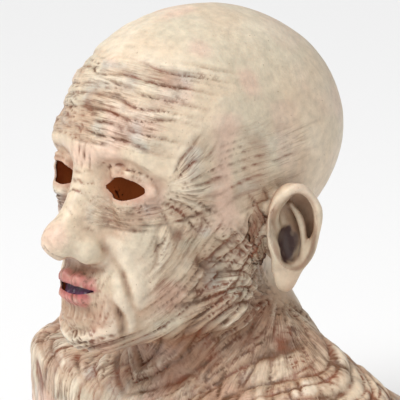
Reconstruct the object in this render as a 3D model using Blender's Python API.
"""A full-head latex mask with a neck and a bib, opened by a slit in the back.

Metres, +Z up.  The mask stands on its hem at z = 0, its face looks along -Y and
+X is its own left side.  The head, neck and bib are one latex skin; behind, the
skin is slit from the hem to the nape, and the flap on the slit's left side folds
outwards.  Lengths below are in millimetres and become metres in add_object().
"""
from math import cos, pi, radians, sin

import bmesh
import bpy
import numpy as np
from mathutils import Vector

MM = 0.001

# Driving dimensions, millimetres
WALL = 2.0                            # latex thickness
GAP = 0.4                             # between the edges of two neighbouring skins
PAD_GAP = 0.9                         # between a faceted skin and what lies against it
HEAD_CENTRE = (0.0, -1.2, 266.0)      # between the ears, on the line of the eyes
HEAD_TILT = radians(7.0)              # the face looks up by this angle
BUST_CENTRE_Y = 22.0
BUST_HALF_WIDTH = 204.0
BUST_FRONT = 98.0                     # from the bust's centre to the hem in front
BUST_BACK = 115.0                     # and behind
SHOULDER_HEIGHT = 142.0
SLIT_TOP = 215.0
FLAP_TOP = 176.0
SLIT_GAP_FOOT, SLIT_GAP_TOP = 0.6, 4.0    # from the slit's middle to the flap's edge, at the hem and at FLAP_TOP
FOLD_TOP_X = 6.0                      # the fold of the flap runs from here at the slit's top
FOLD_FOOT_X = 78.0                    # to here at the hem
EAR_CENTRE = (92.0, 17.0, -31.0)      # from HEAD_CENTRE, in the head's frame
EAR_LEAN, EAR_FLARE = radians(-14.0), radians(22.0)
EYE_SIDE, EYE_WIDTH, EYE_HEIGHT = 36.0, 36.0, 17.0
MOUTH_DROP, MOUTH_WIDTH, MOUTH_HEIGHT = 80.0, 46.0, 7.0
TAB_HEIGHTS = {"lower": 34.0, "middle": 81.0, "upper": 128.0}
TAB_HINGE_X, TAB_END_X, TAB_TALL = 10.0, -30.0, 24.0
TAB_THICK, TAB_SEWN_GAP = 1.2, 0.8    # a strap, and its gap from the skin at its sewn edge
TAB_RAMP = 16.0                       # length over which a strap climbs onto its patch
PATCH_X, PATCH_THICK, PATCH_GAP = -18.0, 1.1, 0.5
PAD_THICK = 11.0
TAPE_WIDE, TAPE_THICK, TAPE_FROM_SLIT = 15.0, 0.9, 5.0
TAPE_LOW, TAPE_HIGH = 4.0, 150.0
SKIN_CELL = 6.0                       # grid that the skin is drawn on
SKIN_SHARE = 0.19                     # share of its triangles that Decimate keeps
EAR_CELL, EAR_SHARE = 3.2, 0.25


# ---------------------------------------------------------------- shape as a field
def ball(p, centre, radii):
    """Distance to an ellipsoid, negative inside."""
    q = p - np.array(centre)
    near = np.sqrt(((q / radii) ** 2).sum(1)) + 1e-9
    slope = np.sqrt(((q / np.square(radii)) ** 2).sum(1)) + 1e-9
    return near * (near - 1.0) / slope


def limb(p, start, end, start_radius, end_radius):
    """Distance to a tapering rod with round ends."""
    start, along = np.array(start), np.array(end) - np.array(start)
    t = np.clip(((p - start) @ along) / (along @ along), 0, 1)
    reach = np.linalg.norm(p - start - t[:, None] * along, axis=1)
    return reach - (start_radius + (end_radius - start_radius) * t)


def join(a, b, blend):
    """Union of two fields with a fillet about as wide as blend."""
    h = np.clip(blend - np.abs(a - b), 0, None) / blend
    return np.minimum(a, b) - h * h * blend / 4


def carve(a, b, blend):
    """Field a with b taken out, with a rounded edge."""
    return -join(-a, b, blend)


def folded(p, crease):
    """Points mirrored to the left side, softened by crease at the middle."""
    q = p.copy()
    q[:, 0] = np.sqrt(q[:, 0] ** 2 + crease ** 2)
    return q


def to_head(p):
    """World points in the head's own upright frame, centred between the ears."""
    x, y, z = (p - np.array(HEAD_CENTRE)).T
    c, s = cos(HEAD_TILT), sin(HEAD_TILT)
    return np.stack([x, y * c - z * s, y * s + z * c], 1)


def from_head(q):
    x, y, z = np.atleast_2d(np.array(q, float)).T
    c, s = cos(HEAD_TILT), sin(HEAD_TILT)
    return np.stack([x, y * c + z * s, -y * s + z * c], 1) + np.array(HEAD_CENTRE)


def skull(q):
    m = folded(q, 1.5)
    d = ball(q, (0, 14, 33), (88, 108, 99))                        # cranium
    d = join(d, ball(q, (0, 47, 42), (76, 77, 72)), 30)            # back of the head
    d = join(d, ball(q, (0, -34, 34), (74, 66, 66)), 30)           # forehead
    d = join(d, ball(q, (0, -30, -42), (58, 66, 84)), 24)          # jaws
    d = join(d, limb(m, (38, -70, -26), (64, -16, -18), 17, 13), 22)   # cheekbone
    d = join(d, limb(m, (60, 8, -36), (52, 0, -86), 16, 14), 26)       # back of the jaw
    d = join(d, limb(m, (52, 0, -86), (18, -74, -112), 15, 15), 24)    # jaw line
    d = join(d, ball(q, (0, -82, -112), (25, 21, 20)), 16)         # chin
    d = join(d, ball(q, (0, -66, -78), (40, 37, 32)), 18)          # round of the mouth
    d = join(d, limb(m, (7, -94, 24), (44, -82, 26), 10, 9), 14)   # brow
    d = join(d, limb(m, (44, -82, 26), (66, -58, 8), 9, 9), 14)    # rim beside the eye
    d = carve(d, ball(m, (92, -38, 18), (14, 30, 26)), 16)         # temple
    return carve(d, ball(m, (76, -54, -66), (14, 26, 24)), 18)     # cheek


def face(q):
    m = folded(q, 1.2)
    d = carve(skull(q), ball(m, (EYE_SIDE, -106, 0), (22, 18, 14)), 14)   # eye socket
    d = join(d, ball(m, (35, -66, -1), (23, 24, 20)), 8)           # lids
    d = join(d, limb(q, (0, -92, 12), (0, -112, -40), 9, 12), 14)  # bridge of the nose
    d = join(d, limb(m, (8, -90, 0), (12, -98, -44), 8, 10), 10)   # side of the nose
    d = join(d, ball(q, (0, -117, -45), (15, 15, 13)), 12)         # tip
    return join(d, ball(m, (15, -104, -49), (10, 14, 11)), 9)      # wing of the nose


def bust(p):
    """Neck, shoulders and bib: an oval column cut off by a sloping top."""
    m = folded(p, 4)
    q = m - np.array((0, BUST_CENTRE_Y, 0))
    behind = np.clip(q[:, 1] / 60, 0, 1)
    radii = np.stack([np.full(len(q), BUST_HALF_WIDTH), BUST_FRONT + (BUST_BACK - BUST_FRONT) * behind], 1)
    near = np.sqrt(((q[:, :2] / radii) ** 2).sum(1)) + 1e-9
    slope = np.sqrt(((q[:, :2] / radii ** 2) ** 2).sum(1)) + 1e-9
    side = near * (near - 1) / slope
    middle = np.clip(1 - q[:, 0] / 150, 0, 1)
    drop = 0.75 * middle * np.clip(np.abs(q[:, 1]) - 30, 0, None)
    top = (q[:, 2] - (SHOULDER_HEIGHT - 0.25 * q[:, 0] - 0.08 * q[:, 1] - drop)) * (0.96 - 0.18 * middle)
    d = -join(-side, -top, 20 + 50 * behind * middle)
    d = join(d, limb(m, (10, 36, 160), (140, 34, 92), 33, 36), 40)      # from neck to shoulder
    return join(d, limb(p, (0, 6, 205), (0, 22, 128), 55, 62), 34)      # neck


def skin_field(p):
    return join(face(to_head(p)), bust(p), 20)


def ear_field(p):
    """The left ear: a tilted oval plate with a hollow, kept clear of the head's skin."""
    q = to_head(p) - np.array(EAR_CENTRE)
    y, z = q[:, 1] * cos(EAR_LEAN) - q[:, 2] * sin(EAR_LEAN), q[:, 1] * sin(EAR_LEAN) + q[:, 2] * cos(EAR_LEAN)
    x, y = q[:, 0] * cos(EAR_FLARE) - y * sin(EAR_FLARE), q[:, 0] * sin(EAR_FLARE) + y * cos(EAR_FLARE)
    q = np.stack([x, y, z], 1)
    plate = join(ball(q, (0, 3, 8), (10, 22.5, 34)), ball(q, (0, -3, -27), (8, 12, 15)), 10)
    plate = join(plate, ball(q, (-10, -3, 0), (10, 15, 26)), 10)
    plate = carve(plate, ball(q, (12, 1, 5), (8, 14, 23)), 5)
    return np.maximum(plate, PAD_GAP - skin_field(p))


def slope_of(field, p, step=0.2):
    """Outward unit normals of a field."""
    offsets = step * np.eye(3)
    g = np.stack([field(p + o) - field(p - o) for o in offsets], 1) / (2 * step)
    size = np.linalg.norm(g, axis=1, keepdims=True) + 1e-9
    return g / size, size[:, 0]


def settle(field, p, rounds=5):
    """Points moved onto the field's surface along its slope."""
    for _ in range(rounds):
        normal, size = slope_of(field, p)
        p = p - normal * np.clip(field(p) / np.maximum(size, 0.3), -6, 6)[:, None]
    return p


def surface_net(field, low, high, cell):
    """Quads around the field's surface, with one point in each cube that it crosses."""
    axes = [np.arange(a, b + cell, cell) for a, b in zip(low, high)]
    corner = np.stack(np.meshgrid(*axes, indexing="ij"), -1)
    inside = (field(corner.reshape(-1, 3)) < 0).reshape(corner.shape[:3])
    nx, ny, nz = (n - 1 for n in inside.shape)
    views = [inside[i:i + nx, j:j + ny, k:k + nz] for i in (0, 1) for j in (0, 1) for k in (0, 1)]
    mixed = np.any(views, 0) & ~np.all(views, 0)
    index = (np.cumsum(mixed) - 1).reshape(mixed.shape)
    points = settle(field, corner[:-1, :-1, :-1][mixed] + cell / 2)
    quads = []
    unit = np.eye(3, dtype=int)
    for axis in range(3):
        u, v = unit[(axis + 1) % 3], unit[(axis + 2) % 3]
        first, second = [slice(1, -1)] * 3, [slice(1, -1)] * 3
        first[axis], second[axis] = slice(0, -1), slice(1, None)
        lower, upper = inside[tuple(first)], inside[tuple(second)]
        edge = np.argwhere(lower != upper) + 1 - unit[axis]
        ring = np.stack([index[tuple((edge - d).T)] for d in (u + v, v, 0 * u, u)], 1)
        turned = ~lower[lower != upper]
        ring[turned] = ring[turned][:, ::-1]
        quads.append(ring)
    return points, np.concatenate(quads)


# ---------------------------------------------------------------- objects
def make_material(name, colour, roughness, metallic=0.0):
    material = bpy.data.materials.new(name)
    material.use_nodes = True
    shader = material.node_tree.nodes["Principled BSDF"]
    shader.inputs["Base Color"].default_value = (*colour, 1.0)
    shader.inputs["Roughness"].default_value = roughness
    shader.inputs["Metallic"].default_value = metallic
    return material


def add_object(name, points, faces, material=None, origin=(0, 0, 0)):
    """An object from millimetre points in world space, its own origin at origin."""
    mesh = bpy.data.meshes.new(name)
    local = (np.array(points) - np.array(origin)) * MM
    mesh.from_pydata(local.tolist(), [], [list(map(int, f)) for f in faces])
    build = bmesh.new()
    build.from_mesh(mesh)
    bmesh.ops.recalc_face_normals(build, faces=build.faces)
    build.to_mesh(mesh)
    build.free()
    mesh.shade_smooth()
    piece = bpy.data.objects.new(name, mesh)
    piece.location = Vector(origin) * MM
    bpy.context.scene.collection.objects.link(piece)
    if material:
        mesh.materials.append(material)
    return piece


def add_cutter(name, points, faces, parent=None):
    cutter = add_object(name, points, faces)
    cutter.hide_render = True
    cutter.display_type = "WIRE"
    cutter.parent = parent
    return cutter


def box_faces():
    """Faces of an eight-cornered block: one end's ring 0-3, the other's 4-7."""
    sides = [(i, (i + 1) % 4, (i + 1) % 4 + 4, i + 4) for i in range(4)]
    return [(3, 2, 1, 0), (4, 5, 6, 7)] + sides


def cut(piece, cutter, operation="DIFFERENCE"):
    modifier = piece.modifiers.new(cutter.name, "BOOLEAN")
    modifier.operation = operation
    modifier.object = cutter


def thin(piece, share):
    modifier = piece.modifiers.new("thin_out", "DECIMATE")
    modifier.ratio = share
    modifier.use_symmetry = True
    modifier.symmetry_axis = "X"


def slab(name, material, outer, inner, origin=(0, 0, 0)):
    """A closed sheet between two grids of points."""
    rows, columns = outer.shape[:2]
    points = np.concatenate([outer.reshape(-1, 3), inner.reshape(-1, 3)])
    number = np.arange(rows * columns).reshape(rows, columns)
    grid = [(number[i, j], number[i + 1, j], number[i + 1, j + 1], number[i, j + 1])
            for i in range(rows - 1) for j in range(columns - 1)]
    rim = list(number[0, :-1]) + list(number[:-1, -1]) + list(number[-1, :0:-1]) + list(number[:0:-1, 0])
    below = rows * columns
    sides = [(a, b, b + below, a + below) for a, b in zip(rim, rim[1:] + rim[:1])]
    under = [tuple(n + below for n in reversed(quad)) for quad in grid]
    return add_object(name, points, grid + under + sides, material, origin)


def grid_on_skin(centre, across, up, half_width, half_height, columns, rows, roundness=0.0):
    """A patch of points on the skin around centre, with their normals."""
    s, t = np.meshgrid(np.linspace(-1, 1, columns), np.linspace(-1, 1, rows), indexing="ij")
    x = s * ((1 - roundness) + roundness * np.sqrt(1 - t * t / 2))
    y = t * ((1 - roundness) + roundness * np.sqrt(1 - s * s / 2))
    across, up = np.array(across, float), np.array(up, float)
    p = np.array(centre) + x[..., None] * half_width * across + y[..., None] * half_height * up
    flat = p.reshape(-1, 3)
    outward = np.cross(across, up)
    for _ in range(40):
        flat = flat - 0.8 * skin_field(flat)[:, None] * outward
    normal = slope_of(skin_field, flat)[0]
    return flat.reshape(p.shape), normal.reshape(p.shape)


# ---------------------------------------------------------------- skin
def back_of_skin(x, z):
    """The point of the outer skin behind (x, z)."""
    p = np.array([[x, 200.0, z]])
    for _ in range(80):
        p[:, 1] -= 0.8 * skin_field(p)
    return p[0]


def fold_line():
    """Ends of the left flap's fold, moved back until the line clears the skin."""
    top, foot = back_of_skin(FOLD_TOP_X, SLIT_TOP), back_of_skin(FOLD_FOOT_X, 0)
    steps = [back_of_skin(*(top + (foot - top) * t)[[0, 2]])[1] - (top + (foot - top) * t)[1]
             for t in np.linspace(0, 1, 21)]
    shift = np.array((0, max(steps), 0))
    return top + shift, foot + shift


def flap_wedge(name, margin, foot_gap=0.0, top_gap=0.0):
    """The block that holds the back flap; margin makes it larger or smaller, the gaps move its slit side."""
    top, foot = fold_line()
    outward, straight = np.array((0.15, 1, 0)), np.array((0, 1, 0))
    below = foot + (foot - top) * 0.1 + (margin, 0, 0)
    top = foot + (top - foot) * FLAP_TOP / SLIT_TOP + (margin, 0, margin)
    corners = [(top * (0, 1, 1) + (top_gap - margin, 0, 0), straight), (top, outward),
               (below, outward), (below * (0, 1, 1) + (foot_gap - margin, 0, 0), straight)]
    return add_cutter(name, [p + way * reach for reach in (-30, 60) for p, way in corners], box_faces())


def slit_cutter():
    """The end of the slit above the flap."""
    ring = [(-1, 0, FLAP_TOP), (1, 0, FLAP_TOP), (1, 0, SLIT_TOP), (-1, 0, SLIT_TOP)]
    points = [np.array(corner) * (GAP / 2, 1, 1) + (0, y, 0) for y in (150, 40) for corner in ring]
    return add_cutter("slit_cutter", points, box_faces())


def almond(name, centre, width, height, parent, sharpness=1.35, depth=60):
    """A prism along Y with an eye-shaped outline, in the head's frame."""
    turn = np.linspace(0, 2 * pi, 28, endpoint=False)
    outline = np.stack([width / 2 * np.cos(turn), 0 * turn,
                        height / 2 * np.sign(np.sin(turn)) * np.abs(np.sin(turn)) ** sharpness], 1)
    near = outline + np.array(centre) - (0, depth / 2, 0)
    far = outline + np.array(centre) + (0, depth / 2, 0)
    count = len(turn)
    sides = [(i, (i + 1) % count, (i + 1) % count + count, i + count) for i in range(count)]
    caps = [tuple(range(count))[::-1], tuple(range(count, 2 * count))]
    return add_cutter(name, np.concatenate([near, far]), sides + caps, parent)


def make_skins(latex):
    points, quads = surface_net(skin_field, (-213, -150, -11), (213, 150, 409), SKIN_CELL)
    head_frame = bpy.data.objects.new("head_frame", None)
    head_frame.location = Vector(HEAD_CENTRE) * MM
    head_frame.rotation_euler.x = -HEAD_TILT
    bpy.context.scene.collection.objects.link(head_frame)
    openings = [almond("left_eye_cutter", (EYE_SIDE, -92, -1), EYE_WIDTH, EYE_HEIGHT, head_frame),
                almond("right_eye_cutter", (-EYE_SIDE, -92, -1), EYE_WIDTH, EYE_HEIGHT, head_frame),
                almond("mouth_cutter", (0, -98, -MOUTH_DROP), MOUTH_WIDTH, MOUTH_HEIGHT, head_frame, 0.8)]
    shell_points, shell_faces = wall_of(points, quads)
    head = add_object("head_skin", shell_points, shell_faces, latex)
    flap = add_object("left_back_flap", shell_points, shell_faces, latex, fold_line()[1])
    cut(flap, flap_wedge("flap_wedge", -GAP / 2, SLIT_GAP_FOOT, SLIT_GAP_TOP), "INTERSECT")
    for cutter in [flap_wedge("flap_room", GAP / 2), slit_cutter()] + openings:
        cut(head, cutter)


def evaluated(piece):
    """Millimetre points and faces of a piece with its modifiers applied; the piece goes."""
    bpy.context.view_layer.update()
    mesh = piece.evaluated_get(bpy.context.evaluated_depsgraph_get()).to_mesh()
    points = np.array([v.co[:] for v in mesh.vertices]) / MM
    faces = [f.vertices[:] for f in mesh.polygons]
    bpy.data.objects.remove(piece)
    return points, faces


def wall_of(points, quads):
    """The skin's outer surface thinned out, cut level at the hem and given its wall."""
    blank = add_object("skin_blank", points, quads)
    trim = bmesh.new()
    trim.from_mesh(blank.data)
    bmesh.ops.bisect_plane(trim, geom=trim.verts[:] + trim.edges[:] + trim.faces[:],
                           plane_no=(0, 0, 1), clear_inner=True)
    trim.to_mesh(blank.data)
    trim.free()
    thin(blank, SKIN_SHARE)
    points, faces = evaluated(blank)
    hem = points[:, 2] < 1.0
    points[hem, 2] = 0
    blank = add_object("skin_blank", points, faces)
    wall = blank.modifiers.new("wall", "SOLIDIFY")
    wall.thickness = WALL * MM
    wall.offset = -1
    points, faces = evaluated(blank)
    points[points[:, 2] < 1.0, 2] = 0
    return points, faces


def make_ears(latex):
    points, quads = surface_net(ear_field, (60, -40, 165), (130, 60, 290), EAR_CELL)
    for name, side in (("left_ear", 1), ("right_ear", -1)):
        ear = add_object(name, points * (side, 1, 1), quads, latex)
        thin(ear, EAR_SHARE)


# ---------------------------------------------------------------- inside the mask
def make_pads(foam):
    """Foam spacers glued to the inside of the skin: they make the mask fit a smaller head."""
    places = {"forehead_pad": ((0, -82, 62), (1, 0, 0), (0, 0.30, 0.95), 42, 15, 0.35),
              "crown_pad": ((0, 18, 132), (1, 0, 0), (0, 1, 0), 38, 38, 1.0),
              "left_temple_pad": ((86, 10, 36), (0, 1, 0), (0, 0, 1), 22, 30, 0.5),
              "right_temple_pad": ((-86, 10, 36), (0, -1, 0), (0, 0, 1), 22, 30, 0.5)}
    for name, (centre, across, up, half_width, half_height, roundness) in places.items():
        turn = from_head([across, up]) - np.array(HEAD_CENTRE)
        p, n = grid_on_skin(from_head(centre)[0], turn[0], turn[1] / np.linalg.norm(turn[1]),
                            half_width, half_height, 9, 7, roundness)
        deep = WALL + PAD_GAP
        slab(name, foam, p - n * deep, p - n * (deep + PAD_THICK))


def make_mouth_backing(gauze):
    """A piece of dark cloth glued behind the lips."""
    turn = from_head([(1, 0, 0), (0, 0, 1)]) - np.array(HEAD_CENTRE)
    p, n = grid_on_skin(from_head((0, -100, -MOUTH_DROP))[0], turn[0], turn[1], 36, 15, 11, 7, 0.2)
    slab("mouth_backing", gauze, p - n * (WALL + PAD_GAP), p - n * (WALL + PAD_GAP + 1.0))


def make_slit_tapes(tape):
    """Reinforcing tape inside each edge of the slit, and a patch over its end."""
    deep = WALL + PAD_GAP
    for name, side in (("left_slit_tape", 1), ("right_slit_tape", -1)):
        centre = ((TAPE_FROM_SLIT + TAPE_WIDE / 2) * side, 120, (TAPE_LOW + TAPE_HIGH) / 2)
        p, n = grid_on_skin(centre, (-1, 0, 0), (0, 0, 1), TAPE_WIDE / 2, (TAPE_HIGH - TAPE_LOW) / 2, 3, 15)
        slab(name, tape, p - n * deep, p - n * (deep + TAPE_THICK), fold_line()[1] if side > 0 else (0, 0, 0))
    p, n = grid_on_skin((0, 100, SLIT_TOP + 14), (-1, 0, 0), (0, 0, 1), 14, 12, 5, 5, 0.3)
    slab("slit_top_patch", tape, p - n * deep, p - n * (deep + TAPE_THICK))


# ---------------------------------------------------------------- closure
def make_closures(hook, loop):
    """Three straps hinged on the left flap, each over a loop patch on the skin right of the slit."""
    for place, height in TAB_HEIGHTS.items():
        middle = (TAB_HINGE_X + TAB_END_X) / 2
        p, n = grid_on_skin((middle, 120, height), (-1, 0, 0), (0, 0, 1),
                            (TAB_HINGE_X - TAB_END_X) / 2, TAB_TALL / 2, 9, 5, 0.0)
        ramp = np.clip((TAB_HINGE_X - p[..., :1]) / TAB_RAMP, 0, 1)
        lift = TAB_SEWN_GAP + (2 * PATCH_GAP + PATCH_THICK - TAB_SEWN_GAP) * ramp
        slab(f"{place}_closure_tab", hook, p + n * (lift + TAB_THICK), p + n * lift, tab_hinge(height))
        p, n = grid_on_skin((PATCH_X, 120, height), (-1, 0, 0), (0, 0, 1), 10, TAB_TALL / 2 - 1, 4, 5, 0.1)
        slab(f"{place}_loop_patch", loop, p + n * (PATCH_GAP + PATCH_THICK), p + n * PATCH_GAP)


def tab_hinge(height):
    """The middle of a strap's stitched edge, where it bends."""
    p = back_of_skin(TAB_HINGE_X, height)[None]
    return (p + (TAB_SEWN_GAP + TAB_THICK / 2) * slope_of(skin_field, p)[0])[0]


def main():
    for old in list(bpy.data.objects):
        bpy.data.objects.remove(old)
    latex = make_material("latex", (0.66, 0.54, 0.41), 0.42)
    foam = make_material("foam", (0.05, 0.05, 0.055), 0.95)
    gauze = make_material("gauze", (0.08, 0.02, 0.06), 0.7)
    tape = make_material("tape", (0.55, 0.45, 0.36), 0.8)
    hook = make_material("hook_strap", (0.42, 0.33, 0.25), 0.85)
    loop = make_material("loop_patch", (0.50, 0.40, 0.31), 0.95)
    make_skins(latex)
    make_ears(latex)
    make_pads(foam)
    make_mouth_backing(gauze)
    make_slit_tapes(tape)
    make_closures(hook, loop)


main()
